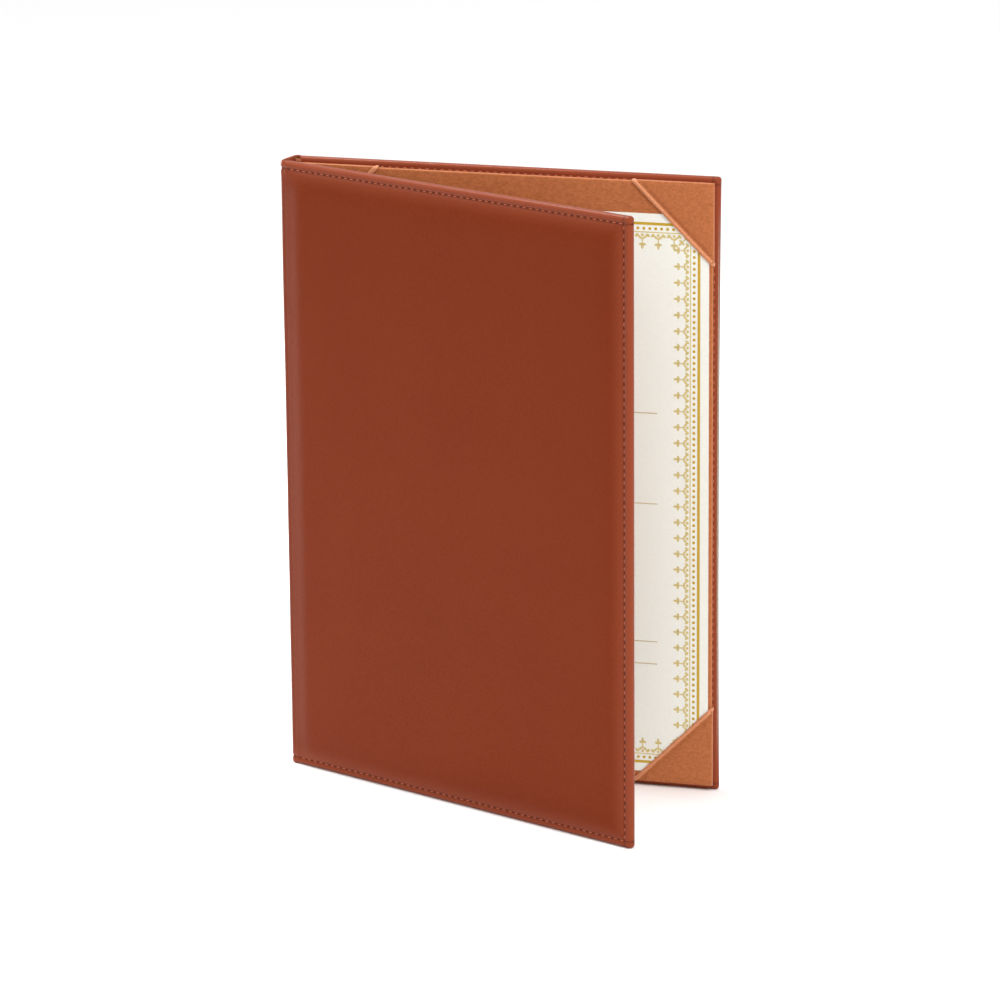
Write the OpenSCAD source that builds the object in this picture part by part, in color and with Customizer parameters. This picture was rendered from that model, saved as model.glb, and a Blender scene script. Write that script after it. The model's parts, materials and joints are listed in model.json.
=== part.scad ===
// Padded leather certificate folder that stands open on its bottom edges.
// Millimetres, +Z up. The back cover lies in the XZ plane with its inner face towards -Y,
// and the front cover is swung open towards -Y about two upright creases beside the spine.

/* [Covers] */
// Distance from each crease to the free edge of its cover
cover_reach = 226; // [225:1:260]
// Height of the folder
cover_h = 325; // [319:1:360]
// Thickness of one padded cover
cover_t = 5; // [4:0.5:7]
// Radius of the corners at the free edges, seen from the front
corner_r = 3; // [2:0.5:5]
// Radius rolled over each long edge of a cover
edge_r = 1.2; // [0.9:0.1:1.6]
// Distance from a crease to the padded part of its cover
crease_gap = 3; // [2.6:0.1:4]

/* [Leather] */
// Thickness of the leather
leather_t = 0.8; // [0.7:0.1:0.9]
// Width of leather turned in over the inner face
turn_in = 18; // [12:1:25]

/* [Spine] */
// Distance between the two creases, which sets the thickness when closed
spine_w = 16.2; // [16:0.2:22]
// Turn of each crease away from closed, as the folder stands
crease_rest = 11.5; // [6:0.5:30]
// Thickness of the card inside the spine
stiffener_t = 0.8; // [0.6:0.1:0.9]

/* [Stitching] */
// Distance of the stitch line from the edges
stitch_inset = 3.8; // [3.4:0.1:5]
// Distance from one stitch to the next
stitch_pitch = 4; // [3.5:0.1:5]
// Visible length of one stitch
stitch_len = 3; // [2:0.1:3.2]
// Diameter of the thread
thread_d = 0.5; // [0.4:0.05:0.5]

/* [Inner panels] */
// Leather left showing round each inner panel
panel_inset = 3.4; // [2:0.1:5]
// Thickness of the card in an inner panel
panel_card_t = 1.2; // [1:0.1:1.4]
// Thickness of the lining cloth
lining_t = 0.6; // [0.4:0.05:0.6]

/* [Corner pockets] */
// Leg of each triangular pocket along the panel's edges
pocket_leg = 41.5; // [38:0.5:60]
// Thickness of the pocket cloth
pocket_t = 0.6; // [0.4:0.05:0.6]
// Width of the folded binding along each pocket's slanted edge
binding_w = 2.2; // [1.6:0.1:2.4]

/* [Certificate] */
// Width of the held sheet
sheet_w = 210; // [200:1:210]
// Height of the held sheet
sheet_h = 297; // [280:1:297]
// Thickness of the held sheet
sheet_t = 0.3; // [0.2:0.05:0.3]
// Panel left showing beyond the sheet's free edge
sheet_right_margin = 1.8; // [1:0.1:4]
// Panel left showing below the sheet
sheet_bottom_margin = 4.8; // [4:0.1:8]

/* [Hidden] */

LEATHER = [0.55, 0.24, 0.14];
LINING = [0.72, 0.44, 0.27];
BINDING = [0.86, 0.58, 0.42];
THREAD = [0.66, 0.34, 0.22];
CARD = [0.62, 0.57, 0.50];
FOAM = [0.88, 0.86, 0.80];
PAPER = [0.96, 0.94, 0.88];

round_fn = 48;

// Levels through a cover, measured from its crease axis, which runs mid-way through the leather
outer_y = leather_t / 2;
inner_y = outer_y - cover_t;
panel_y = inner_y - panel_card_t - lining_t;
sheet_y = panel_y - sheet_t;

// The board fills what the leather and the padding leave
padding_t = 1.2;
board_t = cover_t - 2 * leather_t - padding_t;
board_x = crease_gap + leather_t;
board_r = corner_r - leather_t;

// The leather of a cover stops just short of the round at the crease
crease_clearance = 0.15;
flange_x = leather_t / 2 + crease_clearance;

// Channel pressed along the stitch line, as deep as the thread
channel_w = 1;
stitch_zs = [stitch_inset, cover_h - stitch_inset];

// Inner panels start close beside the crease
panel_x = crease_gap + 1.5;
panel_w = cover_reach - panel_inset - panel_x;
panel_h = cover_h - 2 * panel_inset;

// Ends of a pocket's slanted edge, measured along the panel's edges
binding_start = pocket_leg - binding_w * sqrt(2);

// Stiffening of the spine keeps clear of both creases
spine_end_gap = 1.5;

// Place of the back crease: the origin is at the centre of the bottom of the whole folder
open_angle = 2 * crease_rest;
low_x = -spine_w * sin(crease_rest) - leather_t / 2;
low_y = -spine_w * cos(crease_rest)
    - (cover_reach - edge_r) * sin(open_angle)
    + (edge_r - outer_y) * cos(open_angle)
    - edge_r;
back_crease = [-(cover_reach + low_x) / 2, -(outer_y + low_y) / 2];

// ---- Places of the three moving bodies ----

module at_back() {
    translate([back_crease.x, back_crease.y, 0]) children();
}

// The spine is drawn as in the closed folder, running from its back crease towards -Y
module at_spine() {
    at_back() rotate([0, 0, -crease_rest]) children();
}

// The front cover is the back cover mirrored, on the far crease of the spine
module at_front() {
    at_spine()
        translate([0, -spine_w, 0])
            rotate([0, 0, -crease_rest])
                mirror([0, 1, 0]) children();
}

// ---- Shared shapes ----

module rounded_rect(size, r) {
    translate([r, 0]) square([size.x - 2 * r, size.y]);
    translate([0, r]) square([size.x, size.y - 2 * r]);
    for (x = [r, size.x - r], y = [r, size.y - r]) {
        translate([x, y]) circle(r = r, $fn = round_fn);
    }
}

// Outline seen from the front, square beside the crease and rounded at the free edge
module cover_outline(x, w, h, r) {
    translate([x, 0]) square([w - r, h]);
    translate([x, r]) square([w, h - 2 * r]);
    for (z = [r, h - r]) {
        translate([x + w - r, z]) circle(r = r, $fn = round_fn);
    }
}

// Extrudes an outline drawn in X and Z from y_top down to y_top - t
module slab(y_top, t) {
    translate([0, y_top, 0]) rotate([90, 0, 0]) linear_extrude(t) children();
}

module block(low, high) {
    translate(low) cube(high - low);
}

// ---- Cover: leather, padding, board and stitching ----

module cover_section() {
    translate([crease_gap, inner_y]) rounded_rect([cover_reach - crease_gap, cover_t], edge_r);
    translate([crease_gap, outer_y - edge_r]) square(edge_r);
    translate([flange_x, -leather_t / 2]) square([crease_gap - flange_x + edge_r, leather_t]);
}

module cover_outside() {
    intersection() {
        linear_extrude(cover_h) cover_section();
        translate([0, inner_y, 0])
            rotate([90, 0, 90])
                linear_extrude(cover_reach) rounded_rect([cover_t, cover_h], edge_r);
        slab(outer_y, cover_t) cover_outline(flange_x, cover_reach - flange_x, cover_h, corner_r);
    }
}

module core_outline() {
    translate([0, leather_t])
        cover_outline(board_x, cover_reach - leather_t - board_x, cover_h - 2 * leather_t, board_r);
}

module stitch_channel() {
    low_y = outer_y - thread_d;
    high_y = outer_y + 1;
    edge_x = cover_reach - stitch_inset;
    half = channel_w / 2;
    for (z = stitch_zs) {
        block([0, low_y, z - half], [edge_x + half, high_y, z + half]);
    }
    block([edge_x - half, low_y, stitch_inset], [edge_x + half, high_y, cover_h - stitch_inset]);
}

module cover_leather() {
    difference() {
        cover_outside();
        slab(outer_y - leather_t, padding_t + board_t) core_outline();
        block(
            [crease_gap + turn_in, inner_y - 1, turn_in],
            [cover_reach - turn_in, inner_y + leather_t + 0.1, cover_h - turn_in]
        );
        stitch_channel();
    }
}

module cover_padding() {
    slab(outer_y - leather_t, padding_t) core_outline();
}

module cover_board() {
    slab(outer_y - leather_t - padding_t, board_t) core_outline();
}

// A row of stitches centred on the middle of a run, lying along +X
module stitch_row(run) {
    count = floor(run / stitch_pitch);
    first = (run - (count - 1) * stitch_pitch) / 2;
    for (i = [0:count - 1]) {
        translate([first + i * stitch_pitch, 0, 0])
            rotate([0, 90, 0]) cylinder(d = thread_d, h = stitch_len, center = true, $fn = 16);
    }
}

module cover_stitching() {
    thread_y = outer_y - thread_d / 2;
    start_x = flange_x + 1;
    edge_x = cover_reach - stitch_inset;
    for (z = stitch_zs) {
        translate([start_x, thread_y, z]) stitch_row(edge_x - start_x);
    }
    translate([edge_x, thread_y, stitch_inset])
        rotate([0, -90, 0]) stitch_row(cover_h - 2 * stitch_inset);
}

// ---- Inner panel: card wrapped in lining cloth ----

module panel_outside() {
    slab(inner_y, panel_card_t + lining_t)
        translate([panel_x, panel_inset]) square([panel_w, panel_h]);
}

// The middle of the card fills the window inside the turned-in leather
module panel_card() {
    slab(inner_y, panel_card_t)
        translate([panel_x + lining_t, panel_inset + lining_t])
            square([panel_w - 2 * lining_t, panel_h - 2 * lining_t]);
    block(
        [crease_gap + turn_in, inner_y, turn_in],
        [cover_reach - turn_in, inner_y + leather_t, cover_h - turn_in]
    );
}

module panel_lining() {
    difference() {
        panel_outside();
        slab(inner_y + 1, panel_card_t + 1)
            translate([panel_x + lining_t, panel_inset + lining_t])
                square([panel_w - 2 * lining_t, panel_h - 2 * lining_t]);
    }
}

// ---- Corner pockets, drawn at the panel's bottom left corner and mirrored to the others ----

module at_corner(right, top) {
    x = right ? panel_x + panel_w : panel_x;
    z = top ? panel_inset + panel_h : panel_inset;
    translate([x, 0, z])
        mirror([right ? 1 : 0, 0, 0])
            mirror([0, 0, top ? 1 : 0]) children();
}

// Triangle over the sheet, with both legs wrapped down over the panel's edges
module pocket() {
    end = binding_start + pocket_t;
    slab(sheet_y, pocket_t) polygon([[-pocket_t, -pocket_t], [end, -pocket_t], [-pocket_t, end]]);
    slab(inner_y, inner_y - sheet_y)
        polygon([
            [-pocket_t, -pocket_t],
            [end, -pocket_t],
            [binding_start, 0],
            [0, 0],
            [0, binding_start],
            [-pocket_t, end]
        ]);
}

// Half-round folded strip along the slanted edge, whose ends wrap down over the panel's edges
module binding() {
    middle = (binding_start + pocket_leg) / 4;
    reach = pocket_leg + pocket_t;
    intersection() {
        translate([middle, sheet_y, middle])
            rotate([0, 135, 0]) cylinder(d = binding_w, h = 2 * reach, center = true, $fn = round_fn);
        block([-pocket_t, sheet_y - binding_w, -pocket_t], [reach, sheet_y, reach]);
    }
    slab(inner_y, inner_y - sheet_y)
        polygon([
            [binding_start, 0],
            [pocket_leg, 0],
            [reach, -pocket_t],
            [binding_start + pocket_t, -pocket_t]
        ]);
    slab(inner_y, inner_y - sheet_y)
        polygon([
            [0, binding_start],
            [-pocket_t, binding_start + pocket_t],
            [-pocket_t, reach],
            [0, pocket_leg]
        ]);
}

// ---- Back cover ----

module back_leather() {
    color(LEATHER) at_back() cover_leather();
}

module back_padding() {
    color(FOAM) at_back() cover_padding();
}

module back_board() {
    color(CARD) at_back() cover_board();
}

module back_stitching() {
    color(THREAD) at_back() cover_stitching();
}

module back_panel_card() {
    color(CARD) at_back() panel_card();
}

module back_panel_lining() {
    color(LINING) at_back() panel_lining();
}

module certificate() {
    color(PAPER)
        at_back()
            slab(panel_y, sheet_t)
                translate([
                    panel_x + panel_w - sheet_right_margin - sheet_w,
                    panel_inset + sheet_bottom_margin
                ])
                    square([sheet_w, sheet_h]);
}

module corner_pocket(right, top) {
    color(LINING) at_back() at_corner(right, top) pocket();
}

module corner_binding(right, top) {
    color(BINDING) at_back() at_corner(right, top) binding();
}

// ---- Spine ----

module spine_leather() {
    color(LEATHER)
        at_spine()
            difference() {
                union() {
                    block([-leather_t / 2, -spine_w, 0], [leather_t / 2, 0, cover_h]);
                    for (y = [-spine_w, 0]) {
                        translate([0, y, 0]) cylinder(d = leather_t, h = cover_h, $fn = round_fn);
                    }
                    for (z = [0, cover_h - leather_t]) {
                        block(
                            [0, spine_end_gap - spine_w, z],
                            [leather_t / 2 + stiffener_t, -spine_end_gap, z + leather_t]
                        );
                    }
                }
                for (z = stitch_zs) {
                    block(
                        [-leather_t, spine_end_gap - spine_w, z - channel_w / 2],
                        [thread_d - leather_t / 2, -spine_end_gap, z + channel_w / 2]
                    );
                }
            }
}

module spine_stiffener() {
    color(CARD)
        at_spine()
            block(
                [leather_t / 2, spine_end_gap - spine_w, leather_t],
                [leather_t / 2 + stiffener_t, -spine_end_gap, cover_h - leather_t]
            );
}

module spine_lining() {
    low_x = leather_t / 2 + stiffener_t;
    color(LINING)
        at_spine()
            block(
                [low_x, spine_end_gap - spine_w, panel_inset],
                [low_x + lining_t, -spine_end_gap, cover_h - panel_inset]
            );
}

module spine_stitching() {
    run = spine_w - 2 * spine_end_gap;
    color(THREAD)
        at_spine()
            for (z = stitch_zs) {
                translate([(thread_d - leather_t) / 2, -spine_end_gap, z])
                    rotate([0, 0, -90]) stitch_row(run);
            }
}

// ---- Front cover ----

module front_leather() {
    color(LEATHER) at_front() cover_leather();
}

module front_padding() {
    color(FOAM) at_front() cover_padding();
}

module front_board() {
    color(CARD) at_front() cover_board();
}

module front_stitching() {
    color(THREAD) at_front() cover_stitching();
}

module front_panel_card() {
    color(CARD) at_front() panel_card();
}

module front_panel_lining() {
    color(LINING) at_front() panel_lining();
}

back_leather();
back_padding();
back_board();
back_stitching();
back_panel_card();
back_panel_lining();
certificate();
corner_pocket(false, false);  // pocket_bottom_left
corner_pocket(true, false);  // pocket_bottom_right
corner_pocket(false, true);  // pocket_top_left
corner_pocket(true, true);  // pocket_top_right
corner_binding(false, false);  // binding_bottom_left
corner_binding(true, false);  // binding_bottom_right
corner_binding(false, true);  // binding_top_left
corner_binding(true, true);  // binding_top_right
spine_leather();
spine_stiffener();
spine_lining();
spine_stitching();
front_leather();
front_padding();
front_board();
front_stitching();
front_panel_card();
front_panel_lining();
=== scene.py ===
"""Padded leather certificate folder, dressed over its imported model.

Lengths are in metres. Every soft piece is first made flat, as a leatherworker cuts it, in a
cover's own coordinates: along the cover from its crease, out of the leather, and up. It is then
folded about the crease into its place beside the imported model.
"""

import json
import logging
import math
from collections.abc import Callable, Iterable
from dataclasses import dataclass
from enum import Enum

import bmesh
import bpy
from mathutils import Matrix, Vector, noise


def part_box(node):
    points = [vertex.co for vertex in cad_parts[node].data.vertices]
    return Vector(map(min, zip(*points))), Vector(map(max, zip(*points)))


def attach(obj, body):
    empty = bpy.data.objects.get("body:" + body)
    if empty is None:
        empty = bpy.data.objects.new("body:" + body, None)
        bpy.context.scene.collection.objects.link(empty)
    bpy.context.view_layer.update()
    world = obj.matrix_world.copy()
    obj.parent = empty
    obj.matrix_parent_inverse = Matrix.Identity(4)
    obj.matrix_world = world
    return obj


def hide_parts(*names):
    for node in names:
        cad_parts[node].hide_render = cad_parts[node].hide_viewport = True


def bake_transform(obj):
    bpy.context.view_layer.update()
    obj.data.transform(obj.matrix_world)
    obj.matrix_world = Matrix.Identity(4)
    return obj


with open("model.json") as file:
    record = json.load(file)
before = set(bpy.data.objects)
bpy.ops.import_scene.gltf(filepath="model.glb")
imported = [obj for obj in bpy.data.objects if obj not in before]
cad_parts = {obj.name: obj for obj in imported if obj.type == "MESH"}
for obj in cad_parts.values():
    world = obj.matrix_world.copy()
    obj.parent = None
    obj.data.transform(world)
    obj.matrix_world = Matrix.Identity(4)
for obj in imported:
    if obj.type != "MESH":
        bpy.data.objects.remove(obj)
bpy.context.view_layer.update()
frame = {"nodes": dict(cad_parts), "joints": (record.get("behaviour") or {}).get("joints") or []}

Mesh = bmesh.types.BMesh
Socket = bpy.types.NodeSocket
Material = bpy.types.Material
Piece = bpy.types.Object
Triple = tuple[float, float, float]

LOG = logging.getLogger("folder")
MM = 0.001
UP = Vector((0.0, 0.0, 1.0))
NEAR = 1e-7  # Places closer than this, in metres, count as one.
BEND = (2.8 * MM, 0.6 * MM)  # Where a crease's bend starts and ends along a cover.


class Cover(Enum):
    """The two covers, each with its body's name."""

    BACK = "back"
    FRONT = "front"


class Coordinates(Enum):
    """What a finish's pattern follows."""

    OBJECT = "object"
    FLAT = "flat"


# ---- Sizes and places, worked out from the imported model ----


@dataclass(frozen=True)
class Sizes:
    """Sizes that both covers share, from the back cover, which lies square to the axes."""

    height: float
    reach: float
    thick: float
    outer: float
    spine: float
    lean: float
    back_crease: Vector
    front_crease: Vector
    stitch_inset: float
    panel_start: float
    panel_inset: float
    panel_back: float
    panel_face: float
    panel_end: float
    sheet_start: float
    sheet_foot: float
    sheet_width: float
    sheet_height: float
    sheet_thick: float
    pocket_leg: float
    binding_width: float


def measure() -> Sizes:
    """Read the folder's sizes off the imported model.

    Returns:
        The sizes that every piece is worked out from.
    """
    joints = {joint["name"]: Vector(joint["pos_m"]) for joint in frame["joints"]}
    crease = joints["back_crease"]
    across = joints["front_crease"] - crease
    low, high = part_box("back_leather")
    stitch_low, stitch_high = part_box("back_stitching")
    panel_low, panel_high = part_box("back_panel_lining")
    sheet_low, sheet_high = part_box("certificate")
    pocket_low, pocket_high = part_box("pocket_bottom_left")
    binding_low, binding_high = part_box("binding_bottom_left")
    wrap = panel_low.x - pocket_low.x
    leg = binding_high.x - binding_low.x - wrap
    return Sizes(
        height=high.z,
        reach=high.x - crease.x,
        thick=high.y - low.y,
        outer=high.y - crease.y,
        spine=across.length,
        lean=math.atan2(-across.x, -across.y),
        back_crease=crease,
        front_crease=joints["front_crease"],
        stitch_inset=high.x - stitch_high.x + (stitch_high.y - stitch_low.y) / 2,
        panel_start=panel_low.x - crease.x,
        panel_inset=panel_low.z,
        panel_back=panel_high.y - crease.y,
        panel_face=panel_low.y - crease.y,
        panel_end=panel_high.x - crease.x,
        sheet_start=sheet_low.x - crease.x,
        sheet_foot=sheet_low.z,
        sheet_width=sheet_high.x - sheet_low.x,
        sheet_height=sheet_high.z - sheet_low.z,
        sheet_thick=sheet_high.y - sheet_low.y,
        pocket_leg=leg,
        binding_width=(leg - (pocket_high.x - pocket_low.x - 2 * wrap)) / math.sqrt(2),
    )


@dataclass(frozen=True)
class Fold:
    """Takes a point of a flat cover to its place, over the bend at the crease.

    A point is (along the cover from its crease, out of the leather, up). The spine's half lies
    at negative distances along.
    """

    crease: Vector
    along: Vector
    out: Vector
    turn: float
    run: float = 2.8 * MM

    def place(self, point: Vector) -> Vector:
        """Return a flat point's place in the row frame."""
        radius = self.run / math.tan(self.turn / 2)
        x, y = point.x, point.y
        if point.x < self.run:
            share = min(1.0, (self.run - point.x) / (2 * self.run))
            angle = share * self.turn
            beyond = max(0.0, -self.run - point.x)
            x = self.run - (radius + point.y) * math.sin(angle) - beyond * math.cos(angle)
            y = (radius + point.y) * math.cos(angle) - radius - beyond * math.sin(angle)
        return self.crease + self.along * x + self.out * y + UP * point.z

    def direction(self, point: Vector, step: Vector) -> Vector:
        """Return the direction, in the row frame, of a small flat step from a point."""
        small = 0.01 * MM
        return (self.place(point + step * small) - self.place(point)).normalized()


def fold_of(cover: Cover, sizes: Sizes) -> Fold:
    """Make the fold of one cover.

    Args:
        cover: Which cover.
        sizes: The folder's sizes.

    Returns:
        Its fold. The front cover's is a mirror image, so a mesh placed by it turns inside out.
    """
    turn = math.pi / 2 - sizes.lean
    if cover is Cover.BACK:
        return Fold(sizes.back_crease, Vector((1, 0, 0)), Vector((0, 1, 0)), turn)
    swing = 2 * sizes.lean
    along = Vector((math.cos(swing), -math.sin(swing), 0))
    out = Vector((-math.sin(swing), -math.cos(swing), 0))
    return Fold(sizes.front_crease, along, out, turn)


# ---- Small helpers for meshes ----


def ease(value: float, start: float, end: float) -> float:
    """Rise smoothly from 0 at start to 1 at end."""
    share = min(1.0, max(0.0, (value - start) / (end - start)))
    return share * share * (3 - 2 * share)


def hump(value: float, middle: float, width: float) -> float:
    """Return a bell curve, 1 at the middle and near 0 two widths away."""
    return math.exp(-(((value - middle) / width) ** 2))


def steps(start: float, end: float, step: float) -> list[float]:
    """Return evenly spaced places from start to just before end, at most a step apart."""
    count = max(1, math.ceil((end - start) / step - 1e-6))
    return [start + (end - start) * i / count for i in range(count)]


def lies_at(part: bmesh.types.BMEdge | bmesh.types.BMFace, axis: int, place: float) -> bool:
    """Tell whether all of an edge or a face lies at one place on an axis."""
    return all(abs(vert.co[axis] - place) < NEAR for vert in part.verts)


def make_block(bm: Mesh, low: Vector, high: Vector) -> list[bmesh.types.BMVert]:
    """Add a box to a mesh.

    Args:
        bm: The mesh.
        low: The box's lowest corner.
        high: Its highest corner.

    Returns:
        The box's vertices.
    """
    verts = bmesh.ops.create_cube(bm, size=1.0)["verts"]
    bmesh.ops.scale(bm, vec=high - low, verts=verts)
    bmesh.ops.translate(bm, vec=(low + high) / 2, verts=verts)
    return verts


def cut(bm: Mesh, axis: int, places: Iterable[float]) -> None:
    """Cut a mesh square across one axis.

    Args:
        bm: The mesh.
        axis: 0, 1 or 2.
        places: Where the cuts lie on that axis.
    """
    normal = Vector([float(i == axis) for i in range(3)])
    for place in places:
        geometry = bm.verts[:] + bm.edges[:] + bm.faces[:]
        bmesh.ops.bisect_plane(bm, geom=geometry, plane_co=normal * place, plane_no=normal)


def round_over(bm: Mesh, edges: list[bmesh.types.BMEdge], radius: float, segments: int) -> None:
    """Round some edges of a mesh."""
    bmesh.ops.bevel(
        bm, geom=edges, offset=radius, segments=segments, profile=0.5,
        affect="EDGES", material=-1,
    )


def split_rows(bm: Mesh, low: float, high: float, step: float) -> None:
    """Split the upright edges that run from one height to another into equal rows.

    Args:
        bm: The mesh, already cut at both heights.
        low: The lower height.
        high: The upper height.
        step: The greatest height of a row.
    """
    upright = [
        edge
        for edge in bm.edges
        if abs(min(v.co.z for v in edge.verts) - low) < NEAR
        and abs(max(v.co.z for v in edge.verts) - high) < NEAR
    ]
    rows = math.ceil((high - low) / step)
    bmesh.ops.subdivide_edges(bm, edges=upright, cuts=rows - 1, use_grid_fill=True)


def remember_flat(bm: Mesh) -> None:
    """Keep every vertex's flat place as an attribute, which finishes read."""
    layer = bm.verts.layers.float_vector.new("flat")
    for vert in bm.verts:
        vert[layer] = vert.co


def fold_up(bm: Mesh, cover: Cover, sizes: Sizes) -> None:
    """Move a flat mesh to its place on a cover.

    Args:
        bm: The mesh, in the cover's flat coordinates.
        cover: Which cover it belongs to.
        sizes: The folder's sizes.
    """
    fold = fold_of(cover, sizes)
    for vert in bm.verts:
        vert.co = fold.place(vert.co)
    if cover is Cover.FRONT:
        bmesh.ops.reverse_faces(bm, faces=bm.faces[:])


def finish_piece(name: str, bm: Mesh, material: Material, smooth: bool = True) -> Piece:
    """Turn a mesh into a named piece.

    Args:
        name: The piece's name.
        bm: Its mesh, in place. It is freed.
        material: What it wears.
        smooth: Whether its faces are shaded smooth.

    Returns:
        The new object, at the origin.
    """
    mesh = bpy.data.meshes.new(name)
    for edge in bm.edges:
        if edge.is_boundary:
            edge.smooth = False
    bm.to_mesh(mesh)
    bm.free()
    mesh.polygons.foreach_set("use_smooth", [smooth] * len(mesh.polygons))
    mesh.materials.append(material)
    piece = bpy.data.objects.new(name, mesh)
    bpy.context.scene.collection.objects.link(piece)
    LOG.info("%s: %d faces", name, len(mesh.polygons))
    return piece


def keep_drawing(name: str, bm: Mesh) -> bpy.types.Mesh:
    """Keep a small mesh for copying, and free it."""
    drawing = bpy.data.meshes.new(name)
    bm.to_mesh(drawing)
    bm.free()
    return drawing


def stamp(bm: Mesh, drawing: bpy.types.Mesh, matrix: Matrix) -> None:
    """Add a placed copy of a small mesh to a mesh."""
    before = len(bm.verts)
    bm.from_mesh(drawing)
    bm.verts.ensure_lookup_table()
    bmesh.ops.transform(bm, matrix=matrix, verts=bm.verts[before:])


def bend_at_crease(piece: Piece, cover: Cover, sizes: Sizes) -> None:
    """Bake a piece's placement into its mesh, and find where the bend at its crease starts and
    ends.
    """
    fold = fold_of(cover, sizes)
    near, far = (fold.crease + fold.along * place for place in BEND)
    if cover is Cover.BACK:
        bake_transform(piece)
        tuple(near)
        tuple(far)
    else:
        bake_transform(piece)
        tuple(far)
        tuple(near)


def thicken(piece: Piece, thickness: float, offset: float = -1.0) -> None:
    """Give an open skin its thickness, inwards unless the offset says otherwise."""
    solid = piece.modifiers.new("thickness", "SOLIDIFY")
    solid.thickness = thickness
    solid.offset = offset


def sweep(bm: Mesh, stations: list[Matrix], sides: int) -> None:
    """Sweep a circle of radius 1 through a row of placements, as a closed tube.

    Args:
        bm: The mesh that the tube is added to, which holds only closed tubes.
        stations: A placement for each ring, which also scales it.
        sides: How many sides the tube has.
    """
    ring = bmesh.ops.create_circle(
        bm, cap_ends=True, radius=1.0, segments=sides, matrix=stations[0]
    )["verts"]
    edges = [edge for edge in bm.edges if all(vert in ring for vert in edge.verts)]
    for before, after in zip(stations, stations[1:]):
        grown = bmesh.ops.extrude_edge_only(bm, edges=edges)["geom"]
        verts = [part for part in grown if isinstance(part, bmesh.types.BMVert)]
        edges = [
            part
            for part in grown
            if isinstance(part, bmesh.types.BMEdge) and all(v in verts for v in part.verts)
        ]
        bmesh.ops.transform(bm, matrix=after @ before.inverted(), verts=verts)
    bmesh.ops.contextual_create(bm, geom=edges)
    bmesh.ops.recalc_face_normals(bm, faces=bm.faces[:])


def station(place: Vector, forward: Vector, side: Vector, width: float, height: float) -> Matrix:
    """Return a ring's placement for sweep.

    Args:
        place: Its centre.
        forward: The way the tube runs.
        side: The way its width lies.
        width: Half its width.
        height: Half its height.

    Returns:
        The placement, as a 4 by 4 matrix.
    """
    lift = forward.cross(side).normalized()
    side = lift.cross(forward).normalized()
    turned = Matrix((side * width, lift * height, forward.normalized() * width)).transposed()
    return Matrix.Translation(place) @ turned.to_4x4()


# ---- Finishes ----


class Graph:
    """A material's node tree, with a principled surface to finish it."""

    def __init__(self, name: str) -> None:
        """Start a new material with an empty surface."""
        self.material = bpy.data.materials.new(name)
        self.material.use_nodes = True
        self.tree = self.material.node_tree
        self.surface = self.tree.nodes["Principled BSDF"]

    def add(self, kind: str, **settings: object) -> bpy.types.Node:
        """Add a node.

        Args:
            kind: The node's type, without its ShaderNode prefix.
            settings: Its properties, or its inputs by name with spaces as underscores or
                by number after a letter. A socket given as a value is linked.

        Returns:
            The node.
        """
        node = self.tree.nodes.new("ShaderNode" + kind)
        for key, value in settings.items():
            if hasattr(node, key):
                setattr(node, key, value)
            elif key[1:].isdigit():
                self.feed(node.inputs[int(key[1:])], value)
            else:
                self.feed(node.inputs[key.replace("_", " ")], value)
        return node

    def feed(self, socket: Socket, value: object) -> None:
        """Set a socket to a value, or link another socket to it."""
        if isinstance(value, Socket):
            self.tree.links.new(value, socket)
        else:
            socket.default_value = value

    def wear(self, **settings: object) -> Material:
        """Feed the surface's inputs, by name with spaces as underscores.

        Args:
            settings: The value or the socket for each input.

        Returns:
            The finished material.
        """
        for key, value in settings.items():
            self.feed(self.surface.inputs[key.replace("_", " ")], value)
        return self.material

    def math(self, operation: str, *values: object) -> Socket:
        """Return the result of a maths node fed with values or sockets."""
        node = self.add("Math", operation=operation)
        for socket, value in zip(node.inputs, values):
            self.feed(socket, value)
        return node.outputs[0]

    def point(self, coordinates: Coordinates) -> Socket:
        """Return the coordinates that a pattern follows."""
        if coordinates is Coordinates.FLAT:
            return self.add("Attribute", attribute_name="flat").outputs["Vector"]
        return self.add("TexCoord").outputs["Object"]

    def noise(self, point: Socket, scale: float, detail: float) -> Socket:
        """Return a noise of a given scale per metre."""
        return self.add("TexNoise", Vector=point, Scale=scale, Detail=detail).outputs["Fac"]

    def blend(
        self, share: Socket, low: tuple[float, ...], high: tuple[float, ...],
        start: float = 0.3, end: float = 0.7,
    ) -> Socket:
        """Return a colour that runs from low to high as a share runs from start to end."""
        ramp = self.add("ValToRGB", Fac=share)
        ramp.color_ramp.elements[0].position = start
        ramp.color_ramp.elements[0].color = (*low, 1.0)
        ramp.color_ramp.elements[1].position = end
        ramp.color_ramp.elements[1].color = (*high, 1.0)
        return ramp.outputs["Color"]

    def mean(self, first: Socket, second: Socket, weight: float) -> Socket:
        """Return a mean of two sockets, with the second one's weight given."""
        return self.math(
            "ADD",
            self.math("MULTIPLY", first, 1 - weight),
            self.math("MULTIPLY", second, weight),
        )

    def apart(self, first: Socket, second: Socket | float) -> Socket:
        """Return how far two values are apart."""
        return self.math("ABSOLUTE", self.math("SUBTRACT", first, second))

    def span(
        self, value: Socket, low: float, high: float,
        start: float = 0.0, end: float = 1.0, interpolation: str = "LINEAR",
    ) -> Socket:
        """Return a number that runs from low to high as a value runs from start to end."""
        node = self.add(
            "MapRange", interpolation_type=interpolation, Value=value,
            From_Min=start, From_Max=end, To_Min=low, To_Max=high,
        )
        return node.outputs["Result"]

    def bump(
        self, height: Socket, depth: float, strength: float, under: Socket | None = None
    ) -> Socket:
        """Return a normal bumped by a height, on top of another bump."""
        node = self.add("Bump", Height=height, Distance=depth, Strength=strength)
        if under is not None:
            self.feed(node.inputs["Normal"], under)
        return node.outputs["Normal"]


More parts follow.
